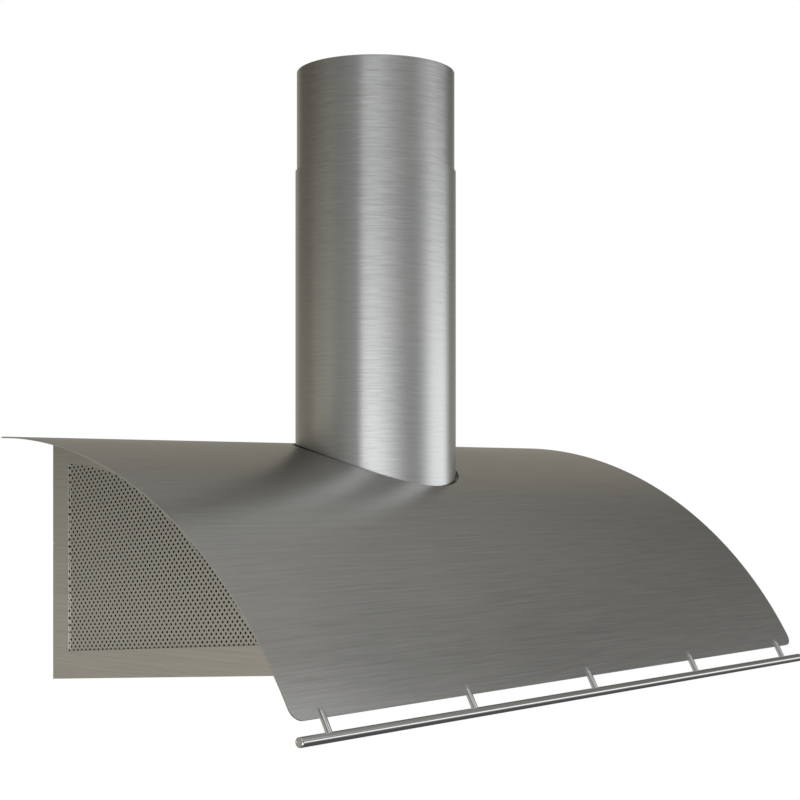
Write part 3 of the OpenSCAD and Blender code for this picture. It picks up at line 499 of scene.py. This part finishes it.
def makeCanopy():
    outer = curve["radius"]
    halfWidth = canopyHigh.x
    top, bottom = wallAngle * outer, edgeAngle * outer
    corner, steps = canopy["cornerRadius"], canopy["cornerSteps"]
    outline = [(halfWidth, top)]
    for side in (1, -1):
        for i in range(steps + 1)[::side]:
            a = math.pi / 2 * i / steps
            outline.append((side * (halfWidth - corner + corner * math.cos(a)),
                            bottom - corner + corner * math.sin(a)))
    outline.append((-halfWidth, top))
    holeRadius = lowerRadius + canopy["holeGap"]
    hole = []
    for i in range(canopy["holeSides"]):
        a = 2 * math.pi * i / canopy["holeSides"]
        depth = -coverY + holeRadius * math.sin(a)
        along = outer * math.asin((depth + curve["setback"]) / outer)
        hole.append((holeRadius * math.cos(a), along))
    count = int((edgeAngle - wallAngle) / math.radians(canopy["ruleStep"]))
    ruleEnd = halfWidth + canopy["ruleReach"]
    rules = []
    for i in range(1, count + 1):
        height = top + (bottom - top) * i / (count + 1)
        rules.append(((-ruleEnd, height), (ruleEnd, height)))
    vertices, faces = cutSheet(
        outline, [hole], rules, lambda u, v, depth: onCurve(u, v / outer, outer - depth),
        curve["thickness"])
    for vertex in vertices:
        vertex.y = min(vertex.y, canopyHigh.y)      # the inner face ends at the wall too
    mesh = meshFrom("canopySheet", vertices, faces)
    flipIfInsideOut(mesh)
    piece = newPiece("canopySheet", mesh, "canopy", "hood", ["canopy"])
    finishEdges(piece, canopy["edge"], canopy["edgeSegments"], canopy["creaseAngle"])


makeCanopy()
print("canopy made")


# Duct cover

cover = {"thickness": 0.0008, "rounding": 0.0003, "segments": 256}


def makeCoverTube(name, nodeName, radius, body):
    low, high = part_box(nodeName)
    inner = radius - cover["thickness"]
    profile = [(inner, low.z), (radius, low.z), (radius, high.z), (inner, high.z)]
    turnedPiece(name, profile, Matrix.Translation((0, coverY, 0)), "cover", body, [nodeName],
                cover["segments"], True, cover["rounding"])


makeCoverTube("lowerCover", "cover_lower", lowerRadius, "hood")
makeCoverTube("upperCover", "cover_upper", upperRadius, "upper_cover")
print("duct cover made")


# Side sheets

screen = {
    "holeRadius": 0.0014, "holeSides": 10,
    "pitch": 0.006806,        # between holes of a row
    "row": 0.003745,          # between rows
    "tilt": 5.0,              # the rows rise to the front, as the lower edge does
    "firstHole": (0.15814, 0.01001),  # distance from the wall and height of one hole
    "reach": 60,              # rows and columns tried on each side of it
    "backEdge": 0.0263,       # window in the side panel, from its edges
    "lowEdge": 0.029,
    "rim": 0.0264,
    "lap": 0.010,             # how far the screen runs on behind the panel
    "panelEdge": 0.00025,
}
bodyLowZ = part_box("side_panel_right")[0].z


def sideOutline(back, low, rim, steps=96):
    # the region of a side, drawn as distance from the wall and height
    radius = curve["radius"] - rim
    tilt = math.radians(screen["tilt"])
    base = bodyLowZ + low / math.cos(tilt)
    topAngle = math.asin((back + curve["setback"]) / radius)
    offset = math.cos(tilt) * (base - curveCentreZ) - math.sin(tilt) * curve["setback"]
    endAngle = math.acos(offset / radius) - tilt
    outline = [(back, base + back * math.tan(tilt))]
    for i in range(steps + 1):
        a = endAngle + (topAngle - endAngle) * i / steps
        outline.append((radius * math.sin(a) - curve["setback"],
                        curveCentreZ + radius * math.cos(a)))
    return outline


def screenHoles():
    tilt = math.radians(screen["tilt"])
    radius, sides, reach = screen["holeRadius"], screen["holeSides"], screen["reach"]
    rimRadius = curve["radius"] - screen["rim"]
    slope = Vector((math.cos(tilt), math.sin(tilt)))
    up = Vector((-math.sin(tilt), math.cos(tilt)))
    first = Vector(screen["firstHole"])
    holes = []
    for row in range(-reach, reach + 1):
        for column in range(-reach, reach + 1):
            shift = column + (0.5 if row % 2 else 0.0)
            centre = first + slope * (shift * screen["pitch"]) + up * (row * screen["row"])
            height = (centre.y - bodyLowZ) * math.cos(tilt) - centre.x * math.sin(tilt)
            fromCentre = math.hypot(centre.x + curve["setback"], centre.y - curveCentreZ)
            if centre.x < screen["backEdge"] - radius or height < screen["lowEdge"] - radius:
                continue
            if fromCentre > rimRadius + radius:
                continue
            ring = []
            for i in range(sides):
                a = 2 * math.pi * (i + 0.5) / sides
                ring.append((centre.x + radius * math.cos(a), centre.y + radius * math.sin(a)))
            holes.append(ring)
    return holes


def makeScreens():
    lap = screen["lap"]
    outline = sideOutline(screen["backEdge"] - lap, screen["lowEdge"] - lap, screen["rim"] - lap)
    holes = screenHoles()
    print("holes in a screen:", len(holes))
    for side, name in ((-1, "left"), (1, "right")):
        low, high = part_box("side_screen_" + name)
        outer = high.x if side > 0 else low.x
        vertices, faces = cutSheet(
            outline, holes, [], lambda u, v, depth: Vector((outer - side * depth, -u, v)),
            high.x - low.x)
        mesh = meshFrom("sideScreen_" + name, vertices, faces)
        flipIfInsideOut(mesh)
        piece = newPiece("sideScreen_" + name, mesh, "screen", "hood", ["side_screen_" + name])
        finishEdges(piece, 0)


makeScreens()
for side in ("left", "right"):
    dressedNode("side_panel_" + side, "side", "hood", screen["panelEdge"])
print("sides made")


# Rail

rail = {
    "wall": 0.001, "rounding": 0.0001, "segments": 96,
    "capLength": 0.0015, "capBevel": 0.0006, "groove": 0.0003,
    "plug": 0.006, "plugGap": 0.00006,          # the cap's part inside the tube
    "dishEdge": 0.00192, "dishDepth": 0.00024,  # hollow in the cap's face
}
post = {"rise": 0.0105, "slant": 0.0085, "segments": 64, "edge": 0.00015, "edgeSegments": 2,
        "creaseAngle": 30}
railLow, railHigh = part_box("rail")
railRadius = (railHigh.z - railLow.z) / 2
railY = (railHigh.y + railLow.y) / 2
railZ = (railHigh.z + railLow.z) / 2


def makeRailPart(name, profile, x, side, nodeName, closed):
    # the profile's height runs along X, away from the middle where side is 1 or -1
    place = Matrix.Translation((x, railY, railZ)) @ Matrix.Rotation(side * math.pi / 2, 4, "Y")
    turnedPiece(name, profile, place, "rail", "hood", [nodeName], rail["segments"], closed,
                rail["rounding"])


def makeRail():
    length = railHigh.x - railLow.x
    inner = railRadius - rail["wall"]
    profile = [(inner, 0), (railRadius, 0), (railRadius, length), (inner, length)]
    makeRailPart("railTube", profile, railLow.x, 1, "rail", True)
    cap, bevel, groove = rail["capLength"], rail["capBevel"], rail["groove"]
    plugRadius = inner - rail["plugGap"]
    dishRadius = railRadius - rail["dishEdge"]
    profile = [
        (0, -rail["plug"]), (plugRadius, -rail["plug"]), (plugRadius, 0),
        (railRadius - groove, 0), (railRadius - groove, groove), (railRadius, 2 * groove),
        (railRadius, cap - bevel), (railRadius - bevel, cap), (dishRadius, cap),
        (dishRadius - rail["dishDepth"], cap - rail["dishDepth"]), (0, cap - rail["dishDepth"])]
    for side, name in ((-1, "left"), (1, "right")):
        makeRailPart("railCap_" + name, profile, side * length / 2, side, "rail_cap_" + name, False)


def makePosts():
    # a rod from the rail up along the sheet, cut to a slanted tip on both faces of it
    postFrame = edgeFrame()
    rise = post["rise"]
    for index in range(1, 6):
        nodeName = "rail_post_" + str(index)
        low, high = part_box(nodeName)
        radius = (high.x - low.x) / 2
        x = (high.x + low.x) / 2
        foot = (postFrame.inverted() @ Vector((x, railY, railZ))).y + railRadius / 2
        shape = bmesh.new()
        stand = Matrix.Translation((x, foot, 0)) @ Matrix.Rotation(-math.pi / 2, 4, "X")
        stand = stand @ Matrix.Translation((0, 0, (rise - foot) / 2))
        bmesh.ops.create_cone(shape, cap_ends=True, segments=post["segments"], radius1=radius,
                              radius2=radius, depth=rise - foot, matrix=stand)
        for face in (1, -1):
            slope = Vector((0, radius, face * post["slant"])).normalized()
            top = Vector((x, rise, face * curve["thickness"] / 2))
            everything = shape.verts[:] + shape.edges[:] + shape.faces[:]
            cut = bmesh.ops.bisect_plane(shape, geom=everything, plane_co=top, plane_no=slope,
                                         clear_outer=True)
            rim = [g for g in cut["geom_cut"] if isinstance(g, bmesh.types.BMEdge)]
            bmesh.ops.contextual_create(shape, geom=rim)
        shape.transform(postFrame)
        mesh = bpy.data.meshes.new("railPost_" + str(index))
        shape.to_mesh(mesh)
        shape.free()
        flipIfInsideOut(mesh)
        piece = newPiece("railPost_" + str(index), mesh, "rail", "hood", [nodeName],
                         finishes["post"])
        finishEdges(piece, post["edge"], post["edgeSegments"], post["creaseAngle"])


makeRail()
makePosts()
print("rail made")


# Underside

underside = {"frameEdge": 0.00025, "baffleEdge": 0.0001, "sheetEdge": 0.00025}
for side in ("left", "right"):
    dressedNode("filter_frame_" + side, "filter", "filter_" + side, underside["frameEdge"])
    dressedNode("filter_baffles_" + side, "filter", "filter_" + side, underside["baffleEdge"], 1)
dressedNode("floor_pan", "side", "hood", underside["sheetEdge"])
dressedNode("rear_panel", "galvanised", "hood", underside["sheetEdge"])
print("underside made")


# Lamps, buttons and the wires that open the filters

floorTilt = math.radians(screen["tilt"])
downFromFloor = Vector((0, -math.sin(floorTilt), -math.cos(floorTilt)))
bodies = frame["record"]["behaviour"]["bodies"]
bodyOf = {nodeName: body for body, nodeNames in bodies.items() for nodeName in nodeNames}


def facingDown(nodeName):
    # the middle of the node; Z points out of the floor, X along the wall
    low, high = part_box(nodeName)
    ahead = downFromFloor.cross(Vector((1, 0, 0)))
    turn = Matrix((Vector((1, 0, 0)), ahead, downFromFloor)).transposed().to_4x4()
    return Matrix.Translation((low + high) / 2) @ turn


lens = {"thickness": 0.002, "rim": 0.0012, "ridge": 0.00012, "ridgePitch": 0.0016, "segments": 96}
lampEdges = {"bezel": 0.0004, "can": 0.0004, "pull": 0.0003, "button": 0.0004}


def makeLenses():
    # a shallow dome with the fine rings that spread the light
    for side in ("left", "right"):
        nodeName = "lamp_lens_" + side
        low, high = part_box(nodeName)
        radius = (high.x - low.x) / 2
        half = lens["thickness"] / 2
        edge = lens["rim"] - half
        profile = [(0, -half), (radius, -half), (radius, edge)]
        count = int(radius / lens["ridgePitch"])
        for i in range(1, 2 * count):
            r = radius * (1 - i / (2 * count))
            dome = edge + (half - edge) * (1 - (r / radius) ** 2)
            profile.append((r, dome - (lens["ridge"] if i % 2 else 0)))
        profile.append((0, half))
        mesh = meshFrom("lampLens_" + side, *turnedSolid(
            profile, facingDown(nodeName), lens["segments"], False))
        flipIfInsideOut(mesh)
        piece = newPiece("lampLens_" + side, mesh, "lens", "hood", [nodeName])
        finishEdges(piece, 0, angle=turning["creaseAngle"])


makeLenses()
for side in ("left", "right"):
    pull = "filter_pull_" + side
    dressedNode("lamp_bezel_" + side, "bezel", "hood", lampEdges["bezel"], 3)
    dressedNode("lamp_can_" + side, "lamp_can", "hood", lampEdges["can"])
    dressedNode(pull, "wire", bodyOf[pull], lampEdges["pull"])
for name in ("light", "off", "low", "middle", "high"):
    button = "button_" + name
    dressedNode(button, "button", bodyOf[button], lampEdges["button"], 3)
print("lamps, buttons and pulls made")


# Wall screws, which fill the wall holes that show through the perforated sides

wallScrew = {
    "across": 0.62, "up": 0.15,                 # between the holes
    "sheet": 0.0012,                            # the rear panel's thickness
    "washer": 0.009, "washerThickness": 0.0012,
    "head": 0.0062, "headHeight": 0.0036, "crown": 0.4, "crownSteps": 8,
    "socket": 0.0026, "socketDepth": 0.002,
    "rounding": 0.0002, "segments": 48,
}


def makeWallScrews():
    panelFront = min(-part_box("rear_panel")[0].y, wallScrew["sheet"])
    base = wallScrew["washerThickness"]
    top = base + wallScrew["headHeight"]
    crown, steps = wallScrew["crown"], wallScrew["crownSteps"]
    socket, socketFloor = wallScrew["socket"], top - wallScrew["socketDepth"]
    profile = [(0, 0), (wallScrew["washer"], 0), (wallScrew["washer"], base)]
    for i in range(steps + 1):
        a = math.pi / 2 * i / steps
        profile.append((wallScrew["head"] * (1 - crown + crown * math.cos(a)),
                        base + (top - base) * math.sin(a)))
    profile += [(socket, top), (socket, socketFloor), (0, socketFloor)]
    number = 0
    for x in (-wallScrew["across"] / 2, wallScrew["across"] / 2):
        for z in (-wallScrew["up"] / 2, wallScrew["up"] / 2):
            number += 1
            place = Matrix.Translation((x, -panelFront, z)) @ Matrix.Rotation(math.pi / 2, 4, "X")
            turnedPiece("wallScrew_" + str(number), profile, place, "fastener", "hood", (),
                        wallScrew["segments"], False, wallScrew["rounding"])


makeWallScrews()
print("wall screws made")


# Inside: sheet, blower, damper and wiring, whose edges show through the openings

inside = {
    "deck": 0.0002, "cover_ring": 0.0002, "cover_bracket": 0.0003, "duct_collar": 0.0002,
    "damper_front": 0.0001, "damper_rear": 0.0001, "control_case": 0.0006,
    "control_board": 0.0002, "scroll_left": 0.0002, "scroll_right": 0.0002,
    "motor_bracket": 0.0002, "wiring_box": 0.0006, "wiring_lid": 0.0005,
    "terminal_block": 0.0004, "filter_magnets": 0.0005, "cable_gland": 0.0004,
    "deck_screws": 0.0003, "canopy_studs": 0.0003, "capacitor": 0.0006, "motor": 0.0006,
    "wheel_nut": 0.0004,
}
slotOf = {entry["node"]: entry["material_slot"] for entry in frame["record"]["subparts"]}
for nodeName, width in inside.items():
    # the deck and cover ring get zinc painted near-black, as painted shade in the gap round the
    # cover
    paintedGapShade = finishes["darkZinc"] if nodeName in ("cover_ring", "deck") else None
    dressedNode(nodeName, slotOf[nodeName], bodyOf[nodeName], width, finish=paintedGapShade)
print("inside made")


# What stays as the CAD made it gets its finish

for nodeName, obj in frame["nodes"].items():
    obj.data.materials.clear()
    obj.data.materials.append(finishes[slotOf[nodeName]])


# Camera, light and floor

camera = {"place": (-1.4708, -1.4330, 0.0932), "turn": -48.75, "lens": 74.62, "sensor": 36.0,
          "shift": (0.00875, 0.0976)}


def makeCamera():
    data = bpy.data.cameras.new("viewpoint")
    data.lens = camera["lens"]
    data.sensor_width = camera["sensor"]
    data.shift_x, data.shift_y = camera["shift"]
    holder = bpy.data.objects.new("viewpoint", data)
    holder.location = camera["place"]
    holder.rotation_euler = (math.pi / 2, 0, math.radians(camera["turn"]))
    bpy.context.scene.collection.objects.link(holder)
    bpy.context.scene.camera = holder


# turn is degrees to the right of straight out from the wall, height is degrees above level,
# spread is how much of the view the panel fills, and glow is how bright it looks
topPanel = {"turn": -8.0, "height": 72.0, "away": 3.0, "aimHeight": 0.1, "spread": (40, 30),
            "glow": 0.8}


def makeTopPanel():
    target = (cadLow + cadHigh) / 2
    target.z = topPanel["aimHeight"]
    away = topPanel["away"]
    data = bpy.data.lights.new("topPanel", "AREA")
    data.shape = "RECTANGLE"
    data.size, data.size_y = [2 * away * math.tan(math.radians(s / 2)) for s in topPanel["spread"]]
    data.energy = topPanel["glow"] * math.pi * data.size * data.size_y
    holder = bpy.data.objects.new("topPanel", data)
    turn, height = math.radians(topPanel["turn"]), math.radians(topPanel["height"])
    way = Vector((math.sin(turn) * math.cos(height), -math.cos(turn) * math.cos(height),
                  math.sin(height)))
    holder.location = target + way * away
    holder.rotation_euler = (-way).to_track_quat("-Z", "Y").to_euler()
    bpy.context.scene.collection.objects.link(holder)


# soft boxes, far off: the angles between which each shines, and how softly each side ends;
# turn runs from -180 to 180, so the one straight behind is written once for each end
softBoxes = {
    "left": {"turn": (-69, -25), "turnSoft": (6, 30), "height": (-40, -3),
             "heightSoft": (10, 5), "glow": (2.6, 2.67, 2.77)},
    "right": {"turn": (28, 73), "turnSoft": (18, 14), "height": (-4, 6),
              "heightSoft": (4, 7), "glow": (1.66, 1.72, 1.79)},
    "upperLeft": {"turn": (-66, -36), "turnSoft": (6, 10), "height": (30, 46),
                  "heightSoft": (6, 8), "glow": (0.9, 0.93, 0.97)},
    "upperRight": {"turn": (16, 56), "turnSoft": (10, 6), "height": (24, 48),
                   "heightSoft": (7, 8), "glow": (0.66, 0.67, 0.69)},
    "behindLeft": {"turn": (-148, -108), "turnSoft": (12, 12), "height": (-40, 5),
                   "heightSoft": (10, 12), "glow": (0.22, 0.212, 0.186)},
    "behindLow": {"turn": (150, 210), "turnSoft": (14, 5), "height": (-75, -14),
                  "heightSoft": (10, 9), "glow": (0.42, 0.42, 0.42)},
    "behindLowToo": {"turn": (-210, -150), "turnSoft": (5, 14), "height": (-75, -14),
                     "heightSoft": (10, 9), "glow": (0.42, 0.42, 0.42)},
    "behindRight": {"turn": (108, 165), "turnSoft": (14, 14), "height": (2, 34),
                    "heightSoft": (8, 10), "glow": (0.19, 0.18, 0.157)},
}
# the room's soft glow between them; front is where way points, back the other way
surround = {
    "way": (-0.17, -0.985, 0.0),
    "backToFront": (-0.6, 0.6),
    "below": (0.11, 0.11, 0.11),
    "levelBack": (0.33, 0.313, 0.27),
    "levelFront": (0.52, 0.53, 0.535),
    "aboveBack": (0.1, 0.094, 0.078),
    "aboveFront": (0.295, 0.296, 0.293),
    "top": (0.49, 0.49, 0.48),
    "belowToLevel": (-0.4, -0.05),      # sine of the height
    "levelToAbove": (-0.05, 0.25),
    "aboveToTop": (0.5, 0.85),
}


def softStep(tree, value, edge, soft, rising):
    low, high = math.radians(edge - soft), math.radians(edge + soft)
    node = addNode(tree, "ShaderNodeMapRange", {
        "Value": value, "From Min": low, "From Max": high,
        "To Min": 0.0 if rising else 1.0, "To Max": 1.0 if rising else 0.0},
        interpolation_type="SMOOTHSTEP")
    return node.outputs[0]


def softBox(tree, turn, height, box):
    share = None
    for value, edges, soft in ((turn, box["turn"], box["turnSoft"]),
                               (height, box["height"], box["heightSoft"])):
        for i, rising in ((0, True), (1, False)):
            step = softStep(tree, value, edges[i], soft[i], rising)
            if share is not None:
                step = addNode(tree, "ShaderNodeMath", {0: share, 1: step},
                               operation="MULTIPLY").outputs[0]
            share = step
    return mixColours(tree, share, (0.0, 0.0, 0.0), box["glow"])


def makeSurround():
    world = bpy.data.worlds.new("studio")
    bpy.context.scene.world = world
    world.use_nodes = True
    tree = world.node_tree
    tree.nodes.clear()
    way = addNode(tree, "ShaderNodeTexCoord").outputs["Generated"]
    parts = addNode(tree, "ShaderNodeSeparateXYZ", {0: way})
    rise = parts.outputs["Z"]
    ahead = addNode(tree, "ShaderNodeVectorMath", {0: way, 1: surround["way"]},
                    operation="DOT_PRODUCT").outputs["Value"]
    turnShare = mapValue(tree, ahead, 0.0, 1.0, *surround["backToFront"])
    level = mixColours(tree, turnShare, surround["levelBack"], surround["levelFront"])
    above = mixColours(tree, turnShare, surround["aboveBack"], surround["aboveFront"])
    shade = surround["below"]
    for colour, ends in ((level, "belowToLevel"), (above, "levelToAbove"),
                         (surround["top"], "aboveToTop")):
        shade = mixColours(tree, mapValue(tree, rise, 0.0, 1.0, *surround[ends]), shade, colour)
    out = addNode(tree, "ShaderNodeMath", {0: parts.outputs["Y"], 1: -1.0}, operation="MULTIPLY")
    turn = addNode(tree, "ShaderNodeMath", {0: parts.outputs["X"], 1: out.outputs[0]},
                   operation="ARCTAN2").outputs[0]
    height = addNode(tree, "ShaderNodeMath", {0: rise}, operation="ARCSINE").outputs[0]
    for box in softBoxes.values():
        total = addNode(tree, "ShaderNodeMix", data_type="RGBA", blend_type="ADD")
        total.inputs[0].default_value = 1.0
        tree.links.new(shade, total.inputs[6])
        tree.links.new(softBox(tree, turn, height, box), total.inputs[7])
        shade = total.outputs[2]
    seen = addNode(tree, "ShaderNodeLightPath").outputs["Is Camera Ray"]
    final = mixColours(tree, seen, shade, (1.0, 1.0, 1.0))      # the camera sees white
    glow = addNode(tree, "ShaderNodeBackground", {"Color": final, "Strength": 1.0})
    output = addNode(tree, "ShaderNodeOutputWorld")
    tree.links.new(glow.outputs[0], output.inputs[0])


studioFloor = {"drop": 2.2, "half": 5.0}
floorCoat = {"name": "paleFloor", "light": (0.8, 0.8, 0.79), "dark": (0.776, 0.776, 0.7663),
             "roughness": 0.7, "grain": 120.0, "bump": 0.02, "glow": 0.45}


def makeFloor():
    half = studioFloor["half"]
    z = cadLow.z - studioFloor["drop"]
    corners = [(-half, -half, z), (half, -half, z), (half, half, z), (-half, half, z)]
    mesh = meshFrom("studioFloor", corners, [[0, 1, 2, 3]])
    mesh.materials.append(plainFinish(**floorCoat))
    floor = bpy.data.objects.new("studioFloor", mesh)
    bpy.context.scene.collection.objects.link(floor)
    floor.visible_glossy = False
    floor.visible_diffuse = False


makeCamera()
makeTopPanel()
makeSurround()
makeFloor()
bpy.context.scene.view_settings.view_transform = "Standard"
bpy.context.scene.view_settings.look = "None"
print("camera, light and floor made")
